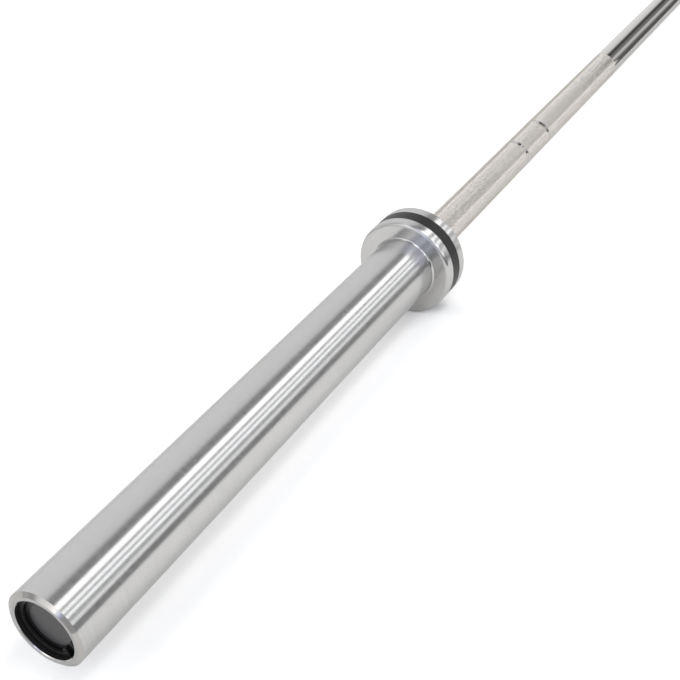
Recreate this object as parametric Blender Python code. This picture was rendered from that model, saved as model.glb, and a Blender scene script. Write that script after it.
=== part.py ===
"""A 20 kg olympic bar with a bearing-mounted sleeve at each end.

The bar lies along X with its middle at the origin, and +Z is up. Every piece is turned about the
bar's own axis, and both ends carry the same pieces, turned half round. Sizes are in metres.
"""

import math

import bmesh
import bpy

MM = 0.001

# The bar as a whole
GRIP_LENGTH = 1316 * MM
COLLAR_WIDTH = 30 * MM
LOADING_LENGTH = 412 * MM

# How finely round shapes are faceted: outer pieces, inner pieces, edge rounds and retaining rings
ROUND_SIDES = 40
INNER_SIDES = 20
EDGE_STEPS = 3
RING_STEP = 15

# Clearance between neighbouring pieces
GAP = 0.3 * MM

# The shaft
SHAFT_DIAMETER = 28 * MM
SHOULDER_HEIGHT = 1.5 * MM
JOURNAL_CHAMFER = 1 * MM
KNURL_HEIGHT = 0.15 * MM
KNURL_FREE_MIDDLE = 395 * MM
COLLAR_RELIEF = 3 * MM
OUTER_MARK_SPREAD = 915 * MM
INNER_MARK_SPREAD = 806 * MM
MARK_WIDTH = 5 * MM
MARK_DEPTH = 0.2 * MM

# The sleeve tube
SLEEVE_DIAMETER = 50 * MM
SEAT_STEP = 3 * MM
LEAD_CHAMFER_LENGTH = 1.8 * MM
LEAD_CHAMFER_DROP = 2.7 * MM
MOUTH_CHAMFER = 0.5 * MM

# The collar and its band
COLLAR_DIAMETER = 78 * MM
COLLAR_FRONT_ROUND = 3 * MM
COLLAR_BACK_ROUND = 2.5 * MM
COLLAR_LIP = 1.5 * MM
ROOT_FILLET = 1.5 * MM
ROOT_EDGE = 0.4 * MM
BACK_LAND = 10 * MM
BAND_WIDTH = 11.4 * MM
BAND_THICKNESS = 1.2 * MM
BAND_EDGE = 0.3 * MM

# The dust seal and the two flanged bushes
SEAL_WIDTH = 2.8 * MM
FLANGE_STEP = 1.5 * MM
FLANGE_THICKNESS = 2.4 * MM
BUSH_LENGTH = 30 * MM
BUSH_CHAMFER = 0.6 * MM

# The needle bearings and the tube between them
BEARING_SECTION = 3.5 * MM
CUP_LENGTH = 26 * MM
CUP_WALL = 0.8 * MM
CUP_LIP = 1.1 * MM
NEEDLE_COUNT = 16
CAGE_THICKNESS = 0.9 * MM
SPACER_WALL = 1.5 * MM

# The washer and the retaining ring on the shaft's end
WASHER_THICKNESS = 2 * MM
SHAFT_RING_THICKNESS = 1.2 * MM
SHAFT_RING_WIDTH = 3 * MM
SHAFT_GROOVE_DEPTH = 0.55 * MM
SHAFT_RING_LAND = 2 * MM
SHAFT_RING_OPENING = 40
SHAFT_RING_TURN = 90

# The end cap and the retaining ring that holds it in the sleeve's mouth
CAP_LEDGE = 1.9 * MM
CAP_THICKNESS = 2 * MM
CAP_EDGE = 0.3 * MM
CAP_TO_SHAFT = 2.5 * MM
CAP_RING_SETBACK = 3 * MM
CAP_RING_THICKNESS = 1.75 * MM
CAP_RING_WIDTH = 3.4 * MM
CAP_RING_LUG = 2.6 * MM
CAP_GROOVE_DEPTH = 1.25 * MM
CAP_RING_OPENING = 26
CAP_RING_TURN = -45
LUG_ANGLE = 11
LUG_HOLE_DIAMETER = 1.6 * MM
LUG_HOLE_SIDES = 6

# Radii that follow from these sizes, from the shaft outward
shaft_radius = SHAFT_DIAMETER / 2
smooth_radius = shaft_radius - KNURL_HEIGHT
journal_radius = shaft_radius - SHOULDER_HEIGHT
running_radius = journal_radius + GAP
bore_radius = journal_radius + BEARING_SECTION
fitted_radius = bore_radius - GAP
flange_radius = bore_radius + FLANGE_STEP
pocket_radius = flange_radius + GAP
cap_bore_radius = pocket_radius + CAP_LEDGE
sleeve_radius = SLEEVE_DIAMETER / 2
seat_radius = sleeve_radius - SEAT_STEP
collar_radius = COLLAR_DIAMETER / 2

# Stations that follow from them along one end, outward from the collar's inner face
end_length = COLLAR_WIDTH + LOADING_LENGTH
seal_start = COLLAR_LIP + GAP
shoulder = seal_start + SEAL_WIDTH + GAP
inner_flange_end = shoulder + GAP + FLANGE_THICKNESS
tube_start = inner_flange_end + GAP
inner_cup_start = inner_flange_end + BUSH_LENGTH + GAP
band_groove_end = BACK_LAND + BAND_WIDTH
root_step = COLLAR_WIDTH - ROOT_FILLET
cap_groove_start = end_length - CAP_RING_SETBACK - CAP_RING_THICKNESS - 2 * GAP
cap_start = cap_groove_start - CAP_THICKNESS
shaft_end = cap_start - CAP_TO_SHAFT
shaft_ring_start = shaft_end - JOURNAL_CHAMFER - SHAFT_RING_LAND - SHAFT_RING_THICKNESS
washer_start = shaft_ring_start - GAP - WASHER_THICKNESS
outer_flange_start = washer_start - GAP - FLANGE_THICKNESS
outer_cup_start = outer_flange_start - BUSH_LENGTH - GAP - CUP_LENGTH
spacer_start = inner_cup_start + CUP_LENGTH + GAP
spacer_length = outer_cup_start - GAP - spacer_start


def make_material(name, colour, metallic, roughness):
    """One plain finish: its colour, how metallic it is and how rough."""
    material = bpy.data.materials.new(name)
    material.use_nodes = True
    shader = material.node_tree.nodes["Principled BSDF"]
    shader.inputs["Base Color"].default_value = (*colour, 1)
    shader.inputs["Metallic"].default_value = metallic
    shader.inputs["Roughness"].default_value = roughness
    return material


def arc(centre, radius, start, end):
    """Points (x, r) along an arc, with its angles in degrees from +X towards the rim."""
    points = []
    for step in range(EDGE_STEPS + 1):
        angle = math.radians(start + (end - start) * step / EDGE_STEPS)
        points.append((centre[0] + radius * math.cos(angle), centre[1] + radius * math.sin(angle)))
    return points


def finished(name, bm, material):
    """The bmesh as a mesh: closed, facing out, smooth along its round faces and sharp at its edges."""
    bmesh.ops.recalc_face_normals(bm, faces=bm.faces)
    mesh = bpy.data.meshes.new(name)
    bm.to_mesh(mesh)
    bm.free()
    mesh.materials.append(material)
    mesh.shade_smooth()
    mesh.set_sharp_from_angle(angle=math.radians(30))
    return mesh


def turned(name, outline, material, sides=ROUND_SIDES):
    """A closed outline of (x, r) points spun about the X axis, with a flat facet at the bottom."""
    bm = bmesh.new()
    tilt = math.pi / sides
    verts = [bm.verts.new((x, r * math.sin(tilt), r * math.cos(tilt))) for x, r in outline]
    edges = [bm.edges.new((verts[i - 1], verts[i])) for i in range(len(verts))]
    on_axis = [e for e in edges if all(v.co.yz.length < GAP / 100 for v in e.verts)]
    bmesh.ops.delete(bm, geom=on_axis, context="EDGES")
    bmesh.ops.spin(
        bm,
        geom=bm.verts[:] + bm.edges[:],
        cent=(0, 0, 0),
        axis=(1, 0, 0),
        angle=2 * math.pi,
        steps=sides,
    )
    bmesh.ops.remove_doubles(bm, verts=bm.verts, dist=GAP / 100)
    return finished(name, bm, material)


def tube(name, inner, outer, length, material, chamfer=0, sides=INNER_SIDES):
    """A plain tube from x = 0, with its two outer edges broken if a chamfer is given."""
    outline = [(0, inner), (0, outer - chamfer), (length, outer - chamfer), (length, inner)]
    if chamfer:
        outline[2:2] = [(chamfer, outer), (length - chamfer, outer)]
    return turned(name, outline, material, sides)


def polar(radius, degrees):
    """A point in the YZ plane, its angle from +Y towards +Z."""
    angle = math.radians(degrees)
    return (radius * math.cos(angle), radius * math.sin(angle))


def arc_run(radius, start, end):
    """Points along an arc of a retaining ring, in the YZ plane, with its angles in degrees."""
    count = max(1, round(abs(end - start) / RING_STEP))
    return [polar(radius, start + (end - start) * i / count) for i in range(count + 1)]


def plate(name, loops, thickness, material):
    """A flat plate from x = 0, cut to closed loops of (y, z) points: its rim and then its holes."""
    bm = bmesh.new()
    for loop in loops:
        verts = [bm.verts.new((0, y, z)) for y, z in loop]
        for i in range(len(verts)):
            bm.edges.new((verts[i - 1], verts[i]))
    bmesh.ops.triangle_fill(bm, use_beauty=True, edges=bm.edges[:], normal=(1, 0, 0))
    pushed = bmesh.ops.extrude_face_region(bm, geom=bm.faces[:])
    moved = [v for v in pushed["geom"] if isinstance(v, bmesh.types.BMVert)]
    bmesh.ops.translate(bm, verts=moved, vec=(thickness, 0, 0))
    return finished(name, bm, material)


def retaining_ring(name, inner, outer, lug_tip, opening, thickness, material):
    """A flat spring ring with an opening, and a lug with a plier hole at each of its ends.

    The lugs reach to the radius lug_tip: inward of the ring in a bore, outward of it on a shaft.
    """
    half = opening / 2
    lug_inner = min(inner, lug_tip)
    lug_outer = max(outer, lug_tip)
    rim = arc_run(lug_outer, half, half + LUG_ANGLE)
    rim += arc_run(outer, half + LUG_ANGLE, 360 - half - LUG_ANGLE)
    rim += arc_run(lug_outer, 360 - half - LUG_ANGLE, 360 - half)
    rim += arc_run(lug_inner, 360 - half, 360 - half - LUG_ANGLE)
    rim += arc_run(inner, 360 - half - LUG_ANGLE, half + LUG_ANGLE)
    rim += arc_run(lug_inner, half + LUG_ANGLE, half)
    loops = [without_repeats(rim)]
    for angle in (half + LUG_ANGLE / 2, 360 - half - LUG_ANGLE / 2):
        y, z = polar((lug_inner + lug_outer) / 2, angle)
        corners = [polar(LUG_HOLE_DIAMETER / 2, 360 * i / LUG_HOLE_SIDES) for i in range(LUG_HOLE_SIDES)]
        loops.append([(y + a, z + b) for a, b in corners])
    return plate(name, loops, thickness, material)


def without_repeats(points):
    """The loop without points that lie on the one before."""
    return [p for i, p in enumerate(points) if math.dist(p, points[i - 1]) > GAP / 100]


def shaft_outline():
    """Half of the shaft's outline, from its middle to its end, in order along X."""
    knurl_start = KNURL_FREE_MIDDLE / 2
    collar_face = GRIP_LENGTH / 2
    knurl_end = collar_face - COLLAR_RELIEF
    outline = [(knurl_start, smooth_radius), (knurl_start, shaft_radius)]
    for spread in (INNER_MARK_SPREAD, OUTER_MARK_SPREAD):
        mark_start = (spread - MARK_WIDTH) / 2
        mark_end = mark_start + MARK_WIDTH
        floor = shaft_radius - MARK_DEPTH
        outline += [(mark_start, shaft_radius), (mark_start, floor)]
        outline += [(mark_end, floor), (mark_end, shaft_radius)]
    outline += [(knurl_end, shaft_radius), (knurl_end, smooth_radius)]
    outline += [(collar_face + shoulder, smooth_radius), (collar_face + shoulder, journal_radius)]
    groove_start = collar_face + shaft_ring_start - GAP
    groove_end = groove_start + SHAFT_RING_THICKNESS + 2 * GAP
    groove_floor = journal_radius - SHAFT_GROOVE_DEPTH
    outline += [(groove_start, journal_radius), (groove_start, groove_floor)]
    outline += [(groove_end, groove_floor), (groove_end, journal_radius)]
    end = collar_face + shaft_end
    outline += [(end - JOURNAL_CHAMFER, journal_radius), (end, journal_radius - JOURNAL_CHAMFER)]
    return outline


def shaft_mesh(material):
    half = shaft_outline()
    other_half = [(-x, r) for x, r in reversed(half)]
    end = half[-1][0]
    return turned("shaft", [(-end, 0)] + other_half + half + [(end, 0)], material)


def collar_mesh(material):
    """The collar from its inner face outward, bored for the seal, the bush's flange and the tube."""
    groove_floor = collar_radius - BAND_THICKNESS - GAP
    lip_radius = sleeve_radius + GAP
    fillet_radius = lip_radius + ROOT_EDGE + ROOT_FILLET
    back_round = min(COLLAR_BACK_ROUND, BACK_LAND - GAP)
    front_land = COLLAR_WIDTH - band_groove_end
    front_round = min(COLLAR_FRONT_ROUND, front_land - GAP, collar_radius - fillet_radius - GAP)
    outline = [(0, shaft_radius + GAP)]
    outline += arc((back_round, collar_radius - back_round), back_round, 180, 90)
    outline += [(BACK_LAND, collar_radius), (BACK_LAND, groove_floor)]
    outline += [(band_groove_end, groove_floor), (band_groove_end, collar_radius)]
    outline += arc((COLLAR_WIDTH - front_round, collar_radius - front_round), front_round, 90, 0)
    outline += arc((COLLAR_WIDTH + ROOT_FILLET, fillet_radius), ROOT_FILLET, 180, 270)
    outline += [(COLLAR_WIDTH + ROOT_FILLET, lip_radius), (root_step, lip_radius)]
    outline += [(root_step, seat_radius + GAP), (inner_flange_end, seat_radius + GAP)]
    outline += [(inner_flange_end, pocket_radius), (COLLAR_LIP, pocket_radius)]
    outline += [(COLLAR_LIP, shaft_radius + GAP)]
    return turned("collar", outline, material)


def band_mesh(material):
    outer = collar_radius - BAND_EDGE / 2
    inner = collar_radius - BAND_THICKNESS
    width = BAND_WIDTH - 2 * GAP
    return tube("collar_band", inner, outer, width, material, BAND_EDGE, ROUND_SIDES)


def sleeve_mesh(material):
    """The tube from its seat in the collar to its mouth, with the pockets for the rings and the cap."""
    length = end_length - tube_start
    seat_end = root_step + GAP - tube_start
    groove_start = cap_groove_start - tube_start
    groove_end = length - CAP_RING_SETBACK
    groove_radius = cap_bore_radius + CAP_GROOVE_DEPTH
    ledge = cap_start - GAP - tube_start
    pocket_floor = outer_flange_start - GAP - tube_start
    outline = [(0, bore_radius), (0, seat_radius), (seat_end, seat_radius), (seat_end, sleeve_radius)]
    outline += [(length - LEAD_CHAMFER_LENGTH, sleeve_radius)]
    outline += [(length, sleeve_radius - LEAD_CHAMFER_DROP)]
    outline += [(length, cap_bore_radius + MOUTH_CHAMFER), (length - MOUTH_CHAMFER, cap_bore_radius)]
    outline += [(groove_end, cap_bore_radius), (groove_end, groove_radius)]
    outline += [(groove_start, groove_radius), (groove_start, cap_bore_radius)]
    outline += [(ledge, cap_bore_radius), (ledge, pocket_radius)]
    outline += [(pocket_floor, pocket_radius), (pocket_floor, bore_radius)]
    return turned("sleeve", outline, material)


def bush_mesh(material):
    """A flanged bush: its flange ends at x = 0 and its barrel runs from there into the bore."""
    outline = [(-FLANGE_THICKNESS, running_radius), (-FLANGE_THICKNESS, flange_radius)]
    outline += [(0, flange_radius), (0, fitted_radius), (BUSH_LENGTH - BUSH_CHAMFER, fitted_radius)]
    outline += [(BUSH_LENGTH, fitted_radius - BUSH_CHAMFER), (BUSH_LENGTH, running_radius)]
    return turned("bush", outline, material, INNER_SIDES)


def cup_mesh(material):
    """A drawn cup: a thin tube with a lip turned in at each end to keep the cage in."""
    wall = fitted_radius - CUP_WALL
    lip = wall - CUP_LIP
    outline = [(0, lip), (0, fitted_radius), (CUP_LENGTH, fitted_radius), (CUP_LENGTH, lip)]
    outline += [(CUP_LENGTH - CUP_WALL, lip), (CUP_LENGTH - CUP_WALL, wall)]
    outline += [(CUP_WALL, wall), (CUP_WALL, lip)]
    return turned("needle_cup", outline, material, INNER_SIDES)


def cage_mesh(material):
    """The needles in their cage, as one fluted ring: each needle stands out of the cage both ways."""
    cup_radius = fitted_radius - CUP_WALL - GAP
    needle_diameter = cup_radius - running_radius
    pitch_radius = (cup_radius + running_radius) / 2
    pitch = 360 / NEEDLE_COUNT
    needle_angle = math.degrees(needle_diameter / pitch_radius)
    loops = []
    for way in (1, -1):
        crest = pitch_radius + way * needle_diameter / 2
        web = pitch_radius + way * CAGE_THICKNESS / 2
        loop = []
        for i in range(NEEDLE_COUNT):
            start = i * pitch
            loop += [polar(web, start), polar(crest, start + needle_angle / 3)]
            loop += [polar(crest, start + needle_angle * 2 / 3), polar(web, start + needle_angle)]
        loops.append(loop)
    length = CUP_LENGTH - 2 * CUP_WALL - 2 * GAP
    return plate("needle_cage", loops, length, material)


def cap_mesh(material):
    rim = cap_bore_radius - GAP
    outline = [(0, 0), (0, rim), (CAP_THICKNESS - CAP_EDGE, rim)]
    outline += [(CAP_THICKNESS, rim - CAP_EDGE), (CAP_THICKNESS, 0)]
    return turned("end_cap", outline, material)


def place(name, mesh, parent, station=0, turn=0, flip=False):
    """An object for one piece, at a station outward from its parent and turned about the axis."""
    piece = bpy.data.objects.new(name, mesh)
    bpy.context.scene.collection.objects.link(piece)
    piece.parent = parent
    piece.location.x = station
    piece.rotation_euler = (math.radians(turn), 0, math.pi if flip else 0)
    return piece


def shaft_ring_mesh(material):
    inner = journal_radius - SHAFT_GROOVE_DEPTH + GAP
    outer = inner + SHAFT_RING_WIDTH
    tip = flange_radius - GAP
    sizes = (inner, outer, tip, SHAFT_RING_OPENING, SHAFT_RING_THICKNESS)
    return retaining_ring("shaft_ring", *sizes, material)


def cap_ring_mesh(material):
    outer = cap_bore_radius + CAP_GROOVE_DEPTH - GAP
    inner = outer - CAP_RING_WIDTH
    tip = inner - CAP_RING_LUG
    sizes = (inner, outer, tip, CAP_RING_OPENING, CAP_RING_THICKNESS)
    return retaining_ring("end_cap_ring", *sizes, material)


def end_pieces():
    """The pieces that one end carries: name, mesh, station, turn in degrees, and whether reversed."""
    seal = tube("dust_seal", shaft_radius + GAP, flange_radius, SEAL_WIDTH, rubber)
    bush = bush_mesh(bronze)
    cup = cup_mesh(bearing_steel)
    cage = cage_mesh(bearing_steel)
    cage_inset = CUP_WALL + GAP
    spacer_bore = fitted_radius - SPACER_WALL
    spacer = tube("bearing_spacer", spacer_bore, fitted_radius, spacer_length, bearing_steel)
    washer = tube("thrust_washer", running_radius, flange_radius, WASHER_THICKNESS, bearing_steel)
    return [
        ("collar", collar_mesh(chrome), 0, 0, False),
        ("collar_band", band_mesh(band_black), BACK_LAND + GAP, 0, False),
        ("sleeve", sleeve_mesh(chrome), tube_start, 0, False),
        ("dust_seal", seal, seal_start, 0, False),
        ("inner_bush", bush, inner_flange_end, 0, False),
        ("inner_needle_cup", cup, inner_cup_start, 0, False),
        ("inner_needle_cage", cage, inner_cup_start + cage_inset, 0, False),
        ("bearing_spacer", spacer, spacer_start, 0, False),
        ("outer_needle_cup", cup, outer_cup_start, 0, False),
        ("outer_needle_cage", cage, outer_cup_start + cage_inset, 0, False),
        ("outer_bush", bush, outer_flange_start, 0, True),
        ("thrust_washer", washer, washer_start, 0, False),
        ("shaft_ring", shaft_ring_mesh(spring_steel), shaft_ring_start, SHAFT_RING_TURN, False),
        ("end_cap", cap_mesh(cap_black), cap_start, 0, False),
        ("end_cap_ring", cap_ring_mesh(spring_steel), cap_groove_start + GAP, CAP_RING_TURN, False),
    ]


for old in list(bpy.data.objects):
    bpy.data.objects.remove(old, do_unlink=True)

chrome = make_material("turned hard chrome", (0.72, 0.72, 0.73), 1, 0.24)
grip_chrome = make_material("knurled grip chrome", (0.66, 0.65, 0.64), 1, 0.38)
bearing_steel = make_material("ground bearing steel", (0.58, 0.59, 0.60), 1, 0.3)
spring_steel = make_material("blackened spring steel", (0.03, 0.03, 0.03), 0.6, 0.45)
bronze = make_material("bearing bronze", (0.72, 0.48, 0.22), 1, 0.35)
band_black = make_material("black band plastic", (0.025, 0.025, 0.028), 0, 0.5)
cap_black = make_material("dark cap lacquer", (0.07, 0.07, 0.075), 0.2, 0.45)
rubber = make_material("seal rubber", (0.02, 0.02, 0.02), 0, 0.8)

place("shaft", shaft_mesh(grip_chrome), None)
pieces = end_pieces()
for side, half_turn in (("right", 0), ("left", math.pi)):
    axis = bpy.data.objects.new(f"{side}_end_axis", None)
    bpy.context.scene.collection.objects.link(axis)
    axis.location.x = math.cos(half_turn) * GRIP_LENGTH / 2
    axis.rotation_euler.z = half_turn
    for name, mesh, station, turn, flip in pieces:
        place(f"{name}_{side}", mesh, axis, station, turn, flip)
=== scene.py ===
"""The looks of a 20 kg olympic bar: a knurled shaft with a chromed sleeve that turns at each end.

The bar lies along X with its middle at the origin and +Z up. Lengths are in metres.
"""

import math

import bmesh
import bpy
from mathutils import Matrix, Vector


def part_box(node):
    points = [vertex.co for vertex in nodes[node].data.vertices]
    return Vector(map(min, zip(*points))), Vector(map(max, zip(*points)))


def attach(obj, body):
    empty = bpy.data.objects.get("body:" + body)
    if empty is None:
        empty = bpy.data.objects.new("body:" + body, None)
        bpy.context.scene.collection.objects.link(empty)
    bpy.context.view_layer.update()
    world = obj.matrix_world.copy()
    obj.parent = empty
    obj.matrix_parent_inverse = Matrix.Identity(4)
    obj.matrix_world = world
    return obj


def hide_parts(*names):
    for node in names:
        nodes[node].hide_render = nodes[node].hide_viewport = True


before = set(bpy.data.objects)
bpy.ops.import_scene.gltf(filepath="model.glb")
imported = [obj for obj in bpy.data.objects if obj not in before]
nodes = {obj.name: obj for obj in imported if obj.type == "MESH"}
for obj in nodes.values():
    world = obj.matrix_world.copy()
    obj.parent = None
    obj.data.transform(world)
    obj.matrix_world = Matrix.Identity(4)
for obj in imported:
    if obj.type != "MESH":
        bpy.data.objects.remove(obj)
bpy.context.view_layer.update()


# The shaft
# One bar of spring steel, turned down at both ends for the bearings, then hard chromed. Its two
# grips are knurled, with two plain ring marks each, and its middle is smooth and polished.

MM = 0.001
TURNED_SIDES = 144
SHARP_ANGLE = 28
SHAFT_DIAMETER = 28 * MM
SMOOTH_DIAMETER = 27.7 * MM
JOURNAL_DIAMETER = 25 * MM
JOURNAL_START = 5.2 * MM
END_CHAMFER = 1 * MM
KNURL_FREE_MIDDLE = 395 * MM
KNURL_TO_COLLAR = 3 * MM
MARK_SPREADS = (806 * MM, 915 * MM)
MARK_WIDTH = 5 * MM
MARK_DEPTH = 0.2 * MM
EDGE_BREAK = 0.15 * MM
KNURL_TEETH = 60
KNURL_HELIX = 30
KNURL_SLOPE = 0.8
KNURL_FLAT = 0.07
GROOVE_HEIGHT = 0.25
DUST_PATCHES = (0.42, 0.6)
# How much darker the grip gets from painted shade in the knurl's grooves and from dust patches.
SHADE_AND_DUST_SHARE = 0.6
CHROME_WARM = (0.60, 0.585, 0.57, 1)
CHROME_GRIP = (0.88, 0.843, 0.805, 1)
CHROME_EDGE = (0.74, 0.74, 0.74, 1)
KNURL_EDGE = (0.62, 0.61, 0.6, 1)

collar_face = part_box("collar_right")[0].x
shaft_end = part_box("shaft")[1].x


class Wire:
    """A shader socket in arithmetic: each operation adds the node that works it out."""

    def __init__(self, tree, socket):
        self.tree = tree
        self.socket = socket

    def node(self, kind, settings=None, sockets=None, output=0):
        """Any other node: its settings are made first, then its sockets get values or links."""
        made = self.tree.nodes.new(kind)
        for name, value in (settings or {}).items():
            if name == "stops":
                while len(made.color_ramp.elements) < len(value):
                    made.color_ramp.elements.new(1)
                for stop, (position, colour) in zip(made.color_ramp.elements, value):
                    stop.position = position
                    stop.color = colour
            else:
                setattr(made, name, value)
        for name, value in (sockets or {}).items():
            if isinstance(value, Wire):
                self.tree.links.new(value.socket, made.inputs[name])
            else:
                made.inputs[name].default_value = value
        return Wire(self.tree, made.outputs[output])

    def maths(self, operation, *others):
        """A Math node on this wire first, then on the others."""
        sockets = dict(enumerate((self, *others)))
        return self.node("ShaderNodeMath", {"operation": operation}, sockets)

    def __add__(self, other):
        return self.maths("ADD", other)

    def __sub__(self, other):
        return self.maths("SUBTRACT", other)

    def __rsub__(self, other):
        return self.node("ShaderNodeMath", {"operation": "SUBTRACT"}, {0: other, 1: self})

    def __mul__(self, other):
        return self.maths("MULTIPLY", other)

    def __truediv__(self, other):
        return self.maths("DIVIDE", other)

    __radd__ = __add__
    __rmul__ = __mul__

    def noise(self, scale, detail=2):
        """Grey noise along this wire's value, from 0 to 1, with scale in cycles a metre."""
        sockets = {"W": self, "Scale": scale, "Detail": detail}
        return self.node("ShaderNodeTexNoise", {"noise_dimensions": "1D"}, sockets)

    def rise(self, low, high, start=0, end=1, soft=False):
        """This wire's run from low to high made a run from start to end, and flat outside it."""
        settings = {"interpolation_type": "SMOOTHSTEP"} if soft else {}
        sockets = {0: self, 1: low, 2: high, 3: start, 4: end}
        return self.node("ShaderNodeMapRange", settings, sockets)

    def between(self, low, high):
        """This wire's 0 to 1 spread from low to high: two numbers, or two colours or wires."""
        if isinstance(low, (int, float)):
            return self * (high - low) + low
        return self.node("ShaderNodeMix", {"data_type": "RGBA"}, {0: self, 6: low, 7: high}, 2)

    def feed(self, shader, socket):
        self.tree.links.new(self.socket, shader.inputs[socket])


def new_finish(name, **constants):
    """A Principled material: itself, its shader, and its object coordinates as x, y and z wires."""
    material = bpy.data.materials.new(name)
    material.use_nodes = True
    tree = material.node_tree
    shader = tree.nodes["Principled BSDF"]
    for socket, value in constants.items():
        shader.inputs[socket.replace("_", " ")].default_value = value
    place = Wire(tree, tree.nodes.new("ShaderNodeTexCoord").outputs["Object"])
    axes = [place.node("ShaderNodeSeparateXYZ", {}, {0: place}, output=i) for i in range(3)]
    return material, shader, axes


def dimmed(colour, share):
    """A colour with only that share of its brightness."""
    return (*(part * share for part in colour[:3]), 1)


def turned(name, outline, finishes):
    """A piece turned about its own Z. The outline's points are (station, radius, finish onward)."""
    bm = bmesh.new()
    turns = [2 * math.pi * i / TURNED_SIDES for i in range(TURNED_SIDES)]
    rings = []
    for z, r, _ in outline:
        ring = [(r * math.cos(a), r * math.sin(a), z) for a in turns] if r else [(0, 0, z)]
        rings.append([bm.verts.new(point) for point in ring])
    for i, (_, _, finish) in enumerate(outline):
        near, far = rings[i], rings[(i + 1) % len(rings)]
        if len(near) == len(far) == 1:
            continue
        for j in range(TURNED_SIDES):
            k = j + 1
            corners = [near[j % len(near)], near[k % len(near)]]
            corners += [far[k % len(far)], far[j % len(far)]]
            bm.faces.new(dict.fromkeys(corners)).material_index = finish
    return finished(name, bm, finishes)


def finished(name, bm, finishes):
    """An object from a bmesh, smooth where it is round, with its list of finishes."""
    bmesh.ops.recalc_face_normals(bm, faces=bm.faces)
    mesh = bpy.data.meshes.new(name)
    bm.to_mesh(mesh)
    bm.free()
    mesh.shade_smooth()
    mesh.set_sharp_from_angle(angle=math.radians(SHARP_ANGLE))
    for material in finishes:
        mesh.materials.append(material)
    piece = bpy.data.objects.new(name, mesh)
    bpy.context.scene.collection.objects.link(piece)
    return piece


polished_chrome, shader, (x, y, z) = new_finish(
    "polished hard chrome", Metallic=1, Specular_Tint=CHROME_EDGE
)
cloud = z.noise(900, 4)
cloud.between(CHROME_WARM, dimmed(CHROME_WARM, 0.94)).feed(shader, "Base Color")
cloud.between(0.07, 0.13).feed(shader, "Roughness")

knurled_chrome, shader, (x, y, z) = new_finish(
    "knurled hard chrome", Metallic=1, Specular_Tint=KNURL_EDGE
)
radius = (x * x + y * y).maths("SQRT")
helix = math.radians(KNURL_HELIX)
turn = y.maths("ARCTAN2", x) / (2 * math.pi) * KNURL_TEETH
twist = z * (math.tan(helix) * KNURL_TEETH / (math.pi * SHAFT_DIAMETER))
right_hand = turn + twist
left_hand = turn - twist
right_height = right_hand.maths("PINGPONG", 0.5)
left_height = left_hand.maths("PINGPONG", 0.5)
on_right = right_height.maths("LESS_THAN", left_height)
height = right_height.maths("MINIMUM", left_height)
right_slope = right_hand.maths("FRACT").maths("GREATER_THAN", 0.5)
left_slope = left_hand.maths("FRACT").maths("GREATER_THAN", 0.5)
way = (on_right * right_slope + (1 - on_right) * left_slope) * 2 - 1
steep = height.maths("LESS_THAN", 0.5 - KNURL_FLAT) * KNURL_SLOPE
round_tilt = way * steep * math.cos(helix)
along_tilt = way * steep * (on_right * 2 - 1) * math.sin(helix)
tilt = {0: 0 - round_tilt * y / radius, 1: round_tilt * x / radius, 2: along_tilt}
tilt = z.node("ShaderNodeCombineXYZ", {}, tilt)
to_world = {"vector_type": "VECTOR", "convert_from": "OBJECT", "convert_to": "WORLD"}
tilt = tilt.node("ShaderNodeVectorTransform", to_world, {0: tilt})
plain = tilt.node("ShaderNodeNewGeometry", output=1)
facet = tilt.node("ShaderNodeVectorMath", {"operation": "ADD"}, {0: plain, 1: tilt})
facet.node("ShaderNodeVectorMath", {"operation": "NORMALIZE"}, {0: facet}).feed(shader, "Normal")
place = x.node("ShaderNodeCombineXYZ", {}, {0: x, 1: y, 2: z})
dust = {"Vector": place, "Scale": 420, "Detail": 4, "Roughness": 0.7}
dust = place.node("ShaderNodeTexNoise", {}, dust).rise(*DUST_PATCHES)
# Painted shade: the knurl's grooves are drawn darker, and random dust patches darken the grip too.
groove_shade_and_dust = height.rise(0, GROOVE_HEIGHT, SHADE_AND_DUST_SHARE, 0) + dust * SHADE_AND_DUST_SHARE
groove_shade_and_dust.between(CHROME_GRIP, dimmed(CHROME_GRIP, 0.8)).feed(shader, "Base Color")
z.noise(4000, 3).between(0.2, 0.34).feed(shader, "Roughness")

shaft_radius = SHAFT_DIAMETER / 2
smooth_radius = SMOOTH_DIAMETER / 2
journal_radius = JOURNAL_DIAMETER / 2
knurl_start = KNURL_FREE_MIDDLE / 2
knurl_end = collar_face - KNURL_TO_COLLAR
journal_start = collar_face + JOURNAL_START
half = [(knurl_start - EDGE_BREAK, smooth_radius, 0), (knurl_start, shaft_radius, 1)]
for spread in MARK_SPREADS:
    start = (spread - MARK_WIDTH) / 2
    end = start + MARK_WIDTH
    floor_radius = shaft_radius - MARK_DEPTH
    half += [(start, shaft_radius, 0), (start + EDGE_BREAK, floor_radius, 0)]
    half += [(end - EDGE_BREAK, floor_radius, 0), (end, shaft_radius, 1)]
half += [
    (knurl_end, shaft_radius, 0),
    (knurl_end + EDGE_BREAK, smooth_radius, 0),
    (journal_start, smooth_radius, 0),
    (journal_start, journal_radius, 0),
    (shaft_end - END_CHAMFER, journal_radius, 0),
    (shaft_end, journal_radius - END_CHAMFER, 0),
]
mirrored = [(-s, r) for s, r, _ in reversed(half)]
finish_back = [f for _, _, f in reversed(half)][1:] + [0]
outline = [(-shaft_end, 0, 0)]
outline += [(s, r, f) for (s, r), f in zip(mirrored, finish_back)]
outline += half + [(shaft_end, 0, 0)]
shaft = turned("knurled_shaft", outline, [polished_chrome, knurled_chrome])
shaft.rotation_euler = (0, math.pi / 2, 0)
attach(shaft, "shaft")
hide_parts("shaft")


# The bearings
# Inside each sleeve two bronze bushes and two caged needle bearings carry it on the shaft, with a
# spacer tube between them. A washer and a spring ring keep it on, and a rubber seal keeps dust out.

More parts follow.
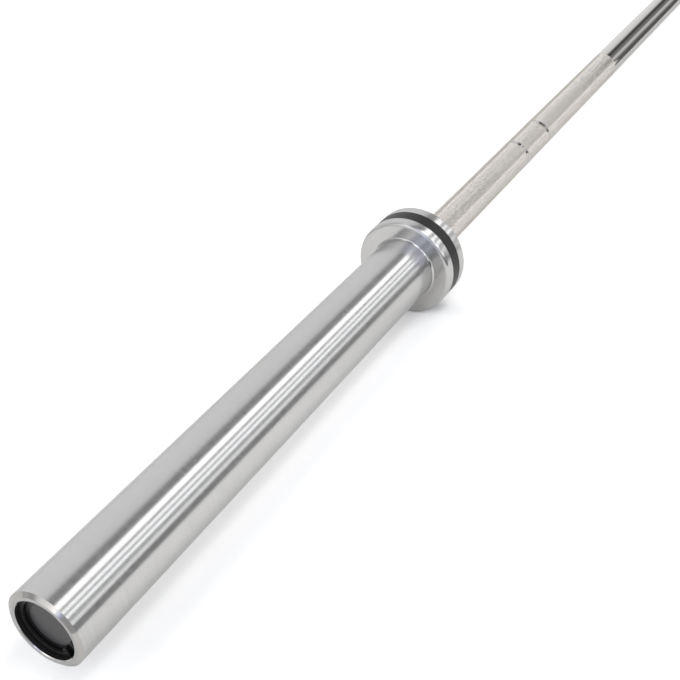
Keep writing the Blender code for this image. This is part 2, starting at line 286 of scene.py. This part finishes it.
BRONZE = (0.72, 0.48, 0.22, 1)
BRONZE_DARK = (0.60, 0.38, 0.16, 1)
BEARING_STEEL = (0.58, 0.59, 0.60, 1)
BEARING_STEEL_DARK = (0.48, 0.49, 0.50, 1)
SPRING_BLACK = (0.02, 0.0195, 0.019, 1)
SPRING_WORN = (0.06, 0.058, 0.056, 1)
SEAL_BLACK = (0.022, 0.022, 0.022, 1)
SEAL_DUSTY = (0.035, 0.034, 0.033, 1)

bronze, shader, (x, y, z) = new_finish("turned bearing bronze", Metallic=1)
lines = x.noise(2500, 4)
lines.between(BRONZE, BRONZE_DARK).feed(shader, "Base Color")
lines.between(0.28, 0.42).feed(shader, "Roughness")

ground_steel, shader, (x, y, z) = new_finish("ground bearing steel", Metallic=1)
lines = x.noise(3000, 4)
lines.between(BEARING_STEEL, BEARING_STEEL_DARK).feed(shader, "Base Color")
lines.between(0.2, 0.34).feed(shader, "Roughness")

black_oxide, shader, (x, y, z) = new_finish("black oxide on spring steel", Metallic=0.6)
lines = (x + y + z).noise(3500, 5)
lines.between(SPRING_BLACK, SPRING_WORN).feed(shader, "Base Color")
lines.between(0.35, 0.5).feed(shader, "Roughness")

seal_rubber, shader, (x, y, z) = new_finish("seal rubber", IOR=1.5)
lines = (x + y * 0.7 + z * 0.9).noise(1800, 5)
lines.between(SEAL_BLACK, SEAL_DUSTY).feed(shader, "Base Color")
lines.between(0.6, 0.8).feed(shader, "Roughness")

inner_finishes = {
    "inner_bush": bronze,
    "outer_bush": bronze,
    "inner_needle_cup": ground_steel,
    "outer_needle_cup": ground_steel,
    "inner_needle_cage": ground_steel,
    "outer_needle_cage": ground_steel,
    "bearing_spacer": ground_steel,
    "thrust_washer": ground_steel,
    "shaft_ring": black_oxide,
    "dust_seal": seal_rubber,
}
for name, finish in inner_finishes.items():
    for side in ("left", "right"):
        nodes[f"{name}_{side}"].data.materials.clear()
        nodes[f"{name}_{side}"].data.materials.append(finish)


# The sleeves
# A thick steel tube at each end, turned, satin ground and hard chromed. Its mouth has a polished
# lead chamfer for the plates, and a plain dark bore that takes the cap and its spring ring. The
# bore's near-black colour is painted shade.

SLEEVE_RADIUS = 25 * MM
SLEEVE_BORE = 16 * MM
SLEEVE_SEAT = 22 * MM
SLEEVE_SEAT_END = 28.8 * MM
MOUTH_BORE = 19.7 * MM
POCKET_RADIUS = 17.8 * MM
BUSH_FLANGE = 2.7 * MM
FIT_GAP = 0.3 * MM
LEAD_CHAMFER_LENGTH = 1.8 * MM
LEAD_CHAMFER_DROP = 2.7 * MM
MOUTH_CHAMFER = 0.5 * MM
RING_GROOVE_DEPTH = 1.25 * MM
RING_GROOVE_WIDTH = 2.35 * MM
RING_SETBACK = 3 * MM
SLEEVE_HAZE = (0.51, 0.59)
CHROME_SATIN = (0.60, 0.598, 0.597, 1)
BORE_BLACK = (0.016, 0.016, 0.017, 1)
BORE_WORN = (0.03, 0.03, 0.031, 1)

turned_chrome, shader, (x, y, z) = new_finish(
    "satin turned hard chrome",
    Metallic=1,
    Specular_Tint=CHROME_EDGE,
    Anisotropic=0.7,
    Anisotropic_Rotation=0.25,
)
radius = (x * x + y * y).maths("SQRT")
hazy = (z + radius).noise(14000, 1).rise(*SLEEVE_HAZE)
hazy.between(CHROME_SATIN, dimmed(CHROME_SATIN, 0.97)).feed(shader, "Base Color")
hazy.between(0.2, 0.66).feed(shader, "Roughness")

# Painted shade: the bore is coloured near-black for the shade inside the sleeve's mouth.
dark_bore, shader, (x, y, z) = new_finish("bore steel with painted shade", Metallic=0.5)
lines = z.noise(2500, 3)
lines.between(BORE_BLACK, BORE_WORN).feed(shader, "Base Color")
lines.between(0.35, 0.5).feed(shader, "Roughness")

sleeve_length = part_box("sleeve_right")[1].x - collar_face
sleeve_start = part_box("sleeve_right")[0].x - collar_face
cap_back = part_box("end_cap_right")[0].x - collar_face
pocket_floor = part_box("outer_bush_right")[1].x - BUSH_FLANGE - collar_face
groove_end = sleeve_length - RING_SETBACK
groove_start = groove_end - RING_GROOVE_WIDTH


def set_outward(piece, way, station=0):
    """Points the piece's own Z outward along the bar, at a station from the collar's inner face."""
    piece.rotation_euler = (0, way * math.pi / 2, 0)
    piece.location.x = way * (collar_face + station)


sleeve_outline = [
    (sleeve_start, SLEEVE_BORE, 0),
    (sleeve_start, SLEEVE_SEAT, 0),
    (SLEEVE_SEAT_END, SLEEVE_SEAT, 0),
    (SLEEVE_SEAT_END, SLEEVE_RADIUS, 0),
    (sleeve_length - LEAD_CHAMFER_LENGTH, SLEEVE_RADIUS, 1),
    (sleeve_length, SLEEVE_RADIUS - LEAD_CHAMFER_DROP, 0),
    (sleeve_length, MOUTH_BORE + MOUTH_CHAMFER, 1),
    (sleeve_length - MOUTH_CHAMFER, MOUTH_BORE, 2),
    (groove_end, MOUTH_BORE, 2),
    (groove_end, MOUTH_BORE + RING_GROOVE_DEPTH, 2),
    (groove_start, MOUTH_BORE + RING_GROOVE_DEPTH, 2),
    (groove_start, MOUTH_BORE, 2),
    (cap_back - FIT_GAP, MOUTH_BORE, 2),
    (cap_back - FIT_GAP, POCKET_RADIUS, 2),
    (pocket_floor, POCKET_RADIUS, 2),
    (pocket_floor, SLEEVE_BORE, 2),
]
sleeve_finishes = [turned_chrome, polished_chrome, dark_bore]
for side, way in (("left", -1), ("right", 1)):
    sleeve = turned(f"chromed_sleeve_{side}", sleeve_outline, sleeve_finishes)
    set_outward(sleeve, way)
    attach(sleeve, f"{side}_sleeve")
    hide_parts(f"sleeve_{side}")


# The collars
# A turned steel ring shrunk on each sleeve, which stops the plates. Both its edges are rounded, a
# lip with a small fillet runs out over the sleeve, and a groove round it takes the band.

COLLAR_RADIUS = 39 * MM
COLLAR_WIDTH = 30 * MM
FRONT_ROUND = 3 * MM
BACK_ROUND = 2.5 * MM
ROOT_FILLET = 1.5 * MM
ROOT_RADIUS = 25.4 * MM
LIP_START = 28.7 * MM
LIP_GAP = 0.03 * MM
SEAT_GAP = 0.2 * MM
SEAL_POCKET = (1.5 * MM, 7.8 * MM)
BACK_LAND = 10 * MM
BAND_WIDTH = 11.4 * MM
BAND_THICKNESS = 1.2 * MM
ROUND_STEPS = 10
COLLAR_HAZE = (0.55, 0.62)
CHROME_COLLAR = (0.555, 0.553, 0.552, 1)


def rounded(station, radius, size, start, end, finish=0):
    """Outline points round an edge's centre, with angles in degrees from outward to the rim."""
    points = []
    for i in range(ROUND_STEPS + 1):
        a = math.radians(start + (end - start) * i / ROUND_STEPS)
        points.append((station + size * math.cos(a), radius + size * math.sin(a), finish))
    return points


collar_chrome, shader, (x, y, z) = new_finish(
    "bright turned hard chrome",
    Metallic=1,
    Specular_Tint=CHROME_EDGE,
    Anisotropic=0.6,
    Anisotropic_Rotation=0.25,
)
radius = (x * x + y * y).maths("SQRT")
hazy = (z + radius).noise(9000, 1).rise(*COLLAR_HAZE)
hazy.between(CHROME_COLLAR, dimmed(CHROME_COLLAR, 0.97)).feed(shader, "Base Color")
hazy.between(0.12, 0.42).feed(shader, "Roughness")

band_end = BACK_LAND + BAND_WIDTH
groove_floor = COLLAR_RADIUS - BAND_THICKNESS
face_edge = COLLAR_RADIUS - FRONT_ROUND
front_centre = COLLAR_WIDTH - FRONT_ROUND
shaft_hole = SHAFT_DIAMETER / 2 + FIT_GAP
lip_end = COLLAR_WIDTH + ROOT_FILLET
lip_bore = SLEEVE_RADIUS + LIP_GAP
seat_bore = SLEEVE_SEAT + SEAT_GAP
collar_outline = [(0, shaft_hole, 0)]
collar_outline += rounded(BACK_ROUND, COLLAR_RADIUS - BACK_ROUND, BACK_ROUND, 180, 90, 1)
collar_outline += [(BACK_LAND, COLLAR_RADIUS, 0), (BACK_LAND, groove_floor, 0)]
collar_outline += [(band_end, groove_floor, 0), (band_end, COLLAR_RADIUS, 1)]
collar_outline += rounded(front_centre, face_edge, FRONT_ROUND, 90, 0, 1)[:-1]
collar_outline += [(COLLAR_WIDTH, face_edge, 0)]
collar_outline += rounded(lip_end, ROOT_RADIUS + ROOT_FILLET, ROOT_FILLET, 180, 270)
collar_outline += [(lip_end, lip_bore, 0), (LIP_START, lip_bore, 0)]
collar_outline += [(LIP_START, seat_bore, 0), (SEAL_POCKET[1], seat_bore, 0)]
collar_outline += [(SEAL_POCKET[1], POCKET_RADIUS, 0), (SEAL_POCKET[0], POCKET_RADIUS, 0)]
collar_outline += [(SEAL_POCKET[0], shaft_hole, 0)]
for side, way in (("left", -1), ("right", 1)):
    collar = turned(f"turned_collar_{side}", collar_outline, [collar_chrome, turned_chrome])
    set_outward(collar, way)
    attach(collar, f"{side}_sleeve")
    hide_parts(f"collar_{side}")


# The collar bands
# A thin moulded band of satin black plastic, stretched over the collar and snapped into its groove,
# flush with the steel on both sides. It is bare.

BAND_EDGE = 0.2 * MM
BAND_PLAY = 0.05 * MM
BAND_SINK = 0.1 * MM
BAND_ARC = 37 * MM
BAND_BLACK = (0.012, 0.0115, 0.012, 1)
BAND_WORN = (0.018, 0.0175, 0.018, 1)
BAND_GRAIN = 0.03 * MM

band_black, shader, (x, y, z) = new_finish("satin black band plastic", IOR=1.35)
turn = y.maths("ARCTAN2", x)
grain = (turn * BAND_ARC + z * 1.7).noise(2600, 5)
grain.between(BAND_BLACK, BAND_WORN).feed(shader, "Base Color")
grain.between(0.38, 0.52).feed(shader, "Roughness")
ridges = {"Strength": 0.3, "Distance": BAND_GRAIN, "Height": grain}
grain.node("ShaderNodeBump", {}, ridges).feed(shader, "Normal")

inner = groove_floor + BAND_PLAY
outer = COLLAR_RADIUS - BAND_SINK
low = BACK_LAND + BAND_PLAY
high = band_end - BAND_PLAY
band_outline = [(low, inner, 0), (low, outer - BAND_EDGE, 0), (low + BAND_EDGE, outer, 0)]
band_outline += [(high - BAND_EDGE, outer, 0), (high, outer - BAND_EDGE, 0), (high, inner, 0)]
for side, way in (("left", -1), ("right", 1)):
    band = turned(f"black_band_{side}", band_outline, [band_black])
    set_outward(band, way)
    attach(band, f"{side}_sleeve")
    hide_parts(f"collar_band_{side}")


# The end caps
# A flat steel disc that closes the sleeve's mouth, resting on a ledge in the bore. It is lacquered
# dark satin grey, and its edge is broken all round. The black round its border is painted shade
# from the spring ring and the bore.

CAP_RADIUS = 19.4 * MM
CAP_THICKNESS = 2 * MM
CAP_EDGE = 0.3 * MM
CAP_SHADE_START = (13.3 * MM, 13.9 * MM)
CAP_GREY = (0.046, 0.045, 0.047, 1)
CAP_PALE = (0.062, 0.061, 0.063, 1)
CAP_RING_SHADE = (0.008, 0.008, 0.0085, 1)
CAP_GRAIN = 0.02 * MM

cap_lacquer, shader, (x, y, z) = new_finish("dark satin lacquer", IOR=1.45)
place = x.node("ShaderNodeCombineXYZ", {}, {0: x, 1: y, 2: z})
grain = place.node("ShaderNodeTexNoise", {}, {"Vector": place, "Scale": 3000, "Detail": 4})
# Painted shade: the cap turns black round its border, for the shade of the spring ring and the
# bore.
ring_shade = (x * x + y * y).maths("SQRT").rise(*CAP_SHADE_START)
ring_shade.between(grain.between(CAP_GREY, CAP_PALE), CAP_RING_SHADE).feed(shader, "Base Color")
grain.between(0.2, 0.32).feed(shader, "Roughness")
ridges = {"Strength": 0.3, "Distance": CAP_GRAIN, "Height": grain}
grain.node("ShaderNodeBump", {}, ridges).feed(shader, "Normal")

cap_outline = [(0, 0, 0), (0, CAP_RADIUS, 0), (CAP_THICKNESS - CAP_EDGE, CAP_RADIUS, 0)]
cap_outline += [(CAP_THICKNESS, CAP_RADIUS - CAP_EDGE, 0), (CAP_THICKNESS, 0, 0)]
for side, way in (("left", -1), ("right", 1)):
    cap = turned(f"dark_cap_{side}", cap_outline, [cap_lacquer])
    set_outward(cap, way, cap_back)
    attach(cap, f"{side}_sleeve")
    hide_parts(f"end_cap_{side}")


# The cap's retaining rings
# A stamped ring of spring steel, blacked, that snaps into the groove over the cap. It is open on
# one side, where two lugs with plier holes reach inward.

RING_OUTER = 20.65 * MM
RING_WIDTH = 3.4 * MM
RING_LUG = 2.6 * MM
RING_THICKNESS = 1.75 * MM
RING_BEVEL = 0.15 * MM
RING_OPENING = 26
RING_TURN = {"left": 225, "right": 45}
LUG_ANGLE = 11
LUG_HOLE_RADIUS = 0.8 * MM
LUG_HOLE_SETBACK = 1.6 * MM
HOLE_STEP = 22.5
RING_WORN = (0.036, 0.035, 0.034, 1)

blacked_spring, shader, (x, y, z) = new_finish("blacked spring steel", Metallic=0.6)
lines = (x * 0.8 + y + z * 0.3).noise(3500, 5)
lines.between(SPRING_BLACK, RING_WORN).feed(shader, "Base Color")
lines.between(0.3, 0.45).feed(shader, "Roughness")


def arc(radius, start, end, step=3):
    """Points round a circle from one angle to another, about a step of degrees apart."""
    count = max(2, round(abs(end - start) / step))
    angles = [math.radians(start + (end - start) * i / count) for i in range(count + 1)]
    return [(radius * math.cos(a), radius * math.sin(a)) for a in angles]


def spring_ring(name):
    """The open ring with its opening at its own +X, from z = 0 up."""
    inner = RING_OUTER - RING_WIDTH
    tip = inner - RING_LUG
    half = RING_OPENING / 2
    lug = half + LUG_ANGLE
    rim = arc(RING_OUTER, half, 360 - half) + arc(tip, 360 - half, 360 - lug)
    rim += arc(inner, 360 - lug, lug) + arc(tip, lug, half)
    hole = arc(LUG_HOLE_RADIUS, 0, 360 - HOLE_STEP, HOLE_STEP)
    loops = [rim]
    for middle in (half + LUG_ANGLE / 2, -half - LUG_ANGLE / 2):
        a = math.radians(middle)
        across = (tip + LUG_HOLE_SETBACK) * math.cos(a)
        up = (tip + LUG_HOLE_SETBACK) * math.sin(a)
        loops.append([(across + x, up + y) for x, y in hole])
    bm = bmesh.new()
    for loop in loops:
        verts = [bm.verts.new((x, y, 0)) for x, y in loop]
        for i in range(len(verts)):
            bm.edges.new((verts[i - 1], verts[i]))
    bmesh.ops.triangle_fill(bm, use_beauty=True, edges=bm.edges[:], normal=(0, 0, 1))
    pushed = bmesh.ops.extrude_face_region(bm, geom=bm.faces[:])
    moved = [v for v in pushed["geom"] if isinstance(v, bmesh.types.BMVert)]
    bmesh.ops.translate(bm, verts=moved, vec=(0, 0, RING_THICKNESS))
    ring = finished(name, bm, [blacked_spring])
    bevel = ring.modifiers.new("stamped edge", "BEVEL")
    bevel.width = RING_BEVEL
    bevel.segments = 2
    bevel.limit_method = "ANGLE"
    return ring


for side, way in (("left", -1), ("right", 1)):
    ring = spring_ring(f"spring_ring_{side}")
    opening = math.radians(RING_TURN[side])
    for vertex in ring.data.vertices:
        vertex.co.rotate(Matrix.Rotation(opening, 3, "Z"))
    set_outward(ring, way, groove_start + FIT_GAP)
    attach(ring, f"{side}_sleeve")
    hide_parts(f"end_cap_ring_{side}")


# The studio
# A plain white table in a pale room. Four long banks of soft light hang overhead on the viewer's
# side. The room's dark parts, four cards on the table, and painted light and shadow on the table
# show in the metal alone.

# Painted light and shadow on the table, seen in the metal alone: how bright the metal sees the
# table by the distance along the bar, and a painted shadow under the bar.
FLOOR_SIZE = 60
FLOOR_WHITE = (0.9, 0.9, 0.9, 1)
FLOOR_SEEN = (1.24, 1.24, 1.24, 1)
FLOOR_TINT = (1, 0.992, 0.97)
FLOOR_RAMP = 2
FLOOR_LIGHT_IN_METAL = (
    (-1.4, 0.92),
    (-1.13, 0.94),
    (-1.03, 1.18),
    (-0.82, 1.18),
    (-0.7, 1.08),
    (-0.55, 1.1),
    (-0.1, 1),
)
UNDER_BAR = (0.005, 0.055)
UNDER_SHADE = 0.9

# Each bank's angle from overhead, its spread in degrees, its brightness and its tint.
BANKS = (
    (26.8, 15, 2.2, (1, 0.99, 0.975)),
    (45.2, 7.5, 2.0, (0.99, 1, 1)),
    (58.6, 7, 2.05, (0.97, 0.985, 1)),
    (77.5, 9, 1.15, (0.98, 0.99, 1)),
)
BANK_DISTANCE = 1.6
BANK_ENDS = (-1.3, 2.2)

# The room's brightness by the angle from overhead towards the viewer's side. Its four parts follow
# one another along the bar, and each side below says where one part turns into the next. From the
# window's side on, the first part is blue.
ROOM_BACK = (
    (-90, 0.44), (-74, 0.44), (-67, 1), (-48, 1.2), (-38, 1.6), (-28, 1.85), (-18, 1.7),
    (-10, 1.1), (-2, 0.95), (9, 1.05), (18, 1.5), (24, 1.5), (30, 0.9), (36, 0.58),
    (47, 0.52), (53, 0.9), (59, 1.3), (65, 0.8), (72, 0.56), (86, 0.46), (100, 0.5),
    (125, 0.85),
)
ROOM_BEHIND = (
    (-90, 0.5), (-72, 0.8), (-56, 0.7), (-43, 0.6), (-24, 0.62), (-14, 1.4), (-6, 0.8),
    (2, 0.28), (11, 0.75), (19, 1.25), (28, 0.95), (38, 0.85), (46, 0.95), (55, 1.5),
    (64, 1.25), (74, 1), (84, 0.75), (90, 0.55),
)
ROOM_AHEAD = (
    (-90, 1.15), (-72, 1.06), (-45, 1), (-30, 0.97), (-16, 0.92), (-8, 0.78), (-3, 0.4),
    (3, 0.14), (12, 0.11), (17, 0.13), (22, 0.2), (36, 0.2), (52, 0.24), (66, 0.34),
    (70, 0.34), (82, 0.4), (88, 0.37), (95, 0.25),
)
ROOM_FAR = (
    (-90, 1.35), (-60, 1.28), (-45, 1.2), (-30, 1.16), (-16, 1), (-8, 0.68), (-3, 0.32),
    (3, 0.09), (12, 0.08), (20, 0.15), (28, 0.23), (36, 0.26), (44, 0.31), (50, 0.5),
    (56, 0.86), (61, 0.95), (68, 0.8), (76, 0.48), (84, 0.38), (92, 0.32),
)
BACK_SIDE = (-0.7, -0.62)
NEAR_SIDE = (-0.3, 0.3)
FAR_SIDE = (0.82, 0.9)
WINDOW_SIDE = (-14, -4)
WINDOW_BLUE = (0.86, 0.92, 1.16, 1)

# Each card's top edge. Three black ones darken the sleeve, the ring marks and the smooth middle.
NEAR_CARD = (
    (-1.1, -0.25, 0.036),
    (-0.75, -0.25, 0.036),
    (-0.5, -0.22, 0.031),
    (-0.4, -0.21, -0.03),
)
MARK_CARD = ((-0.09, -0.25, 0.03), (0.06, -0.25, 0.03))
FAR_CARD = ((-0.06, -0.072, 0.0098), (4, -0.072, 0.0098))
GREY_CARD = ((-1.2, 0.05, 0.008), (-1.2, -0.2, 0.03))

CAMERA_LENS = 58.3
CAMERA_PLACE = (-1.3554, -0.3781, 0.3947)
CAMERA_TURN = (59.237, 7.239, -60.501)

bpy.ops.mesh.primitive_plane_add(size=FLOOR_SIZE, location=(0, 0, -COLLAR_RADIUS))
floor = bpy.context.object
floor.name = "table"
table_white = bpy.data.materials.new("matt white table")
table_white.use_nodes = True
tree = table_white.node_tree
tree.nodes.remove(tree.nodes["Principled BSDF"])
path = tree.nodes.new("ShaderNodeLightPath")
camera_ray = Wire(tree, path.outputs["Is Camera Ray"])
glossy_ray = Wire(tree, path.outputs["Is Glossy Ray"])
through_ray = Wire(tree, path.outputs["Is Transmission Ray"])
mirrored_ray = glossy_ray.maths("MAXIMUM", through_ray)
place = Wire(tree, tree.nodes.new("ShaderNodeTexCoord").outputs["Object"])
along = place.node("ShaderNodeSeparateXYZ", {}, {0: place}) / FLOOR_RAMP + 1
# Painted light along the table, seen in the metal alone.
stops = []
for station, level in FLOOR_LIGHT_IN_METAL:
    stops.append((station / FLOOR_RAMP + 1, (*(level * tint for tint in FLOOR_TINT), 1)))
level = along.node("ShaderNodeValToRGB", {"stops": stops}, {0: along})
# Painted shadow under the bar, seen in the metal alone.
aside = place.node("ShaderNodeSeparateXYZ", {}, {0: place}, output=1).maths("ABSOLUTE")
shade = aside.rise(*UNDER_BAR, UNDER_SHADE, 1)
level = level.node("ShaderNodeVectorMath", {"operation": "SCALE"}, {0: level, "Scale": shade})
white = mirrored_ray.between(FLOOR_WHITE, level)
white = camera_ray.between(white, FLOOR_SEEN)
matt = white.node("ShaderNodeBsdfDiffuse", {}, {"Color": white})
matt.feed(tree.nodes["Material Output"], "Surface")
floor.data.materials.append(table_white)


def card(name, shade, top_edge):
    """A card that stands on the table and shows in the metal alone, under its top edge's points."""
    cloth = bpy.data.materials.new(name)
    cloth.use_nodes = True
    shader = cloth.node_tree.nodes["Principled BSDF"]
    shader.inputs["Base Color"].default_value = (shade, shade, shade, 1)
    shader.inputs["Specular IOR Level"].default_value = 0
    foot = [(x, y, -COLLAR_RADIUS) for x, y, _ in top_edge]
    count = len(top_edge)
    panels = [(i, i + 1, i + 1 + count, i + count) for i in range(count - 1)]
    mesh = bpy.data.meshes.new(name)
    mesh.from_pydata(foot + list(top_edge), [], panels)
    mesh.materials.append(cloth)
    stand = bpy.data.objects.new(name, mesh)
    bpy.context.scene.collection.objects.link(stand)
    stand.visible_camera = False
    stand.visible_diffuse = False
    stand.visible_shadow = False


card("near_black_card", 0.12, NEAR_CARD)
card("mark_black_card", 0.1, MARK_CARD)
card("far_black_card", 0.2, FAR_CARD)
card("grey_card", 0.5, GREY_CARD)

world = bpy.data.worlds.new("studio")
bpy.context.scene.world = world
world.use_nodes = True
tree = world.node_tree
direction = Wire(tree, tree.nodes.new("ShaderNodeTexCoord").outputs["Generated"])
x, y, z = (
    direction.node("ShaderNodeSeparateXYZ", {}, {0: direction}, output=i) for i in range(3)
)
overhead = (0 - y).maths("ARCTAN2", z) / (2 * math.pi) + 0.5


def as_overhead(angle):
    """An angle in degrees as the overhead wire gives it."""
    return (angle + 180) / 360


def room(levels):
    """One part of the room, from its table of brightness by angle."""
    stops = [(as_overhead(angle), (level, level, level, 1)) for angle, level in levels]
    return overhead.node("ShaderNodeValToRGB", {"stops": stops}, {0: overhead})


blue = overhead.rise(*(as_overhead(angle) for angle in WINDOW_SIDE))
tint = blue.between((1, 1, 1, 1), WINDOW_BLUE)
tinted = {0: tint, 1: room(ROOM_BACK)}
light = tint.node("ShaderNodeVectorMath", {"operation": "MULTIPLY"}, tinted)
for side, levels in ((BACK_SIDE, ROOM_BEHIND), (NEAR_SIDE, ROOM_AHEAD), (FAR_SIDE, ROOM_FAR)):
    light = x.rise(*side, soft=True).between(light, room(levels))
path = tree.nodes.new("ShaderNodeLightPath")
light = Wire(tree, path.outputs["Is Camera Ray"]).between(light, (1, 1, 1, 1))
light.feed(tree.nodes["Background"], "Color")

for number, (angle, spread, level, tint) in enumerate(BANKS):
    lamp = bpy.data.lights.new(f"bank_{number}", "AREA")
    lamp.shape = "RECTANGLE"
    lamp.size = BANK_ENDS[1] - BANK_ENDS[0]
    lamp.size_y = 2 * BANK_DISTANCE * math.tan(math.radians(spread / 2))
    lamp.energy = level * math.pi * lamp.size * lamp.size_y
    lamp.color = tint
    bank = bpy.data.objects.new(f"bank_{number}", lamp)
    bpy.context.scene.collection.objects.link(bank)
    a = math.radians(angle)
    bank.location.x = sum(BANK_ENDS) / 2
    bank.location.y = -BANK_DISTANCE * math.sin(a)
    bank.location.z = BANK_DISTANCE * math.cos(a)
    bank.rotation_euler = (a, 0, 0)
    bank.visible_camera = False

scene = bpy.context.scene
scene.view_settings.view_transform = "Standard"
camera_data = bpy.data.cameras.new("camera")
camera_data.sensor_width = 36
camera_data.lens = CAMERA_LENS
camera_data.clip_end = 200
camera = bpy.data.objects.new("camera", camera_data)
scene.collection.objects.link(camera)
camera.location = CAMERA_PLACE
camera.rotation_euler = [math.radians(angle) for angle in CAMERA_TURN]
scene.camera = camera
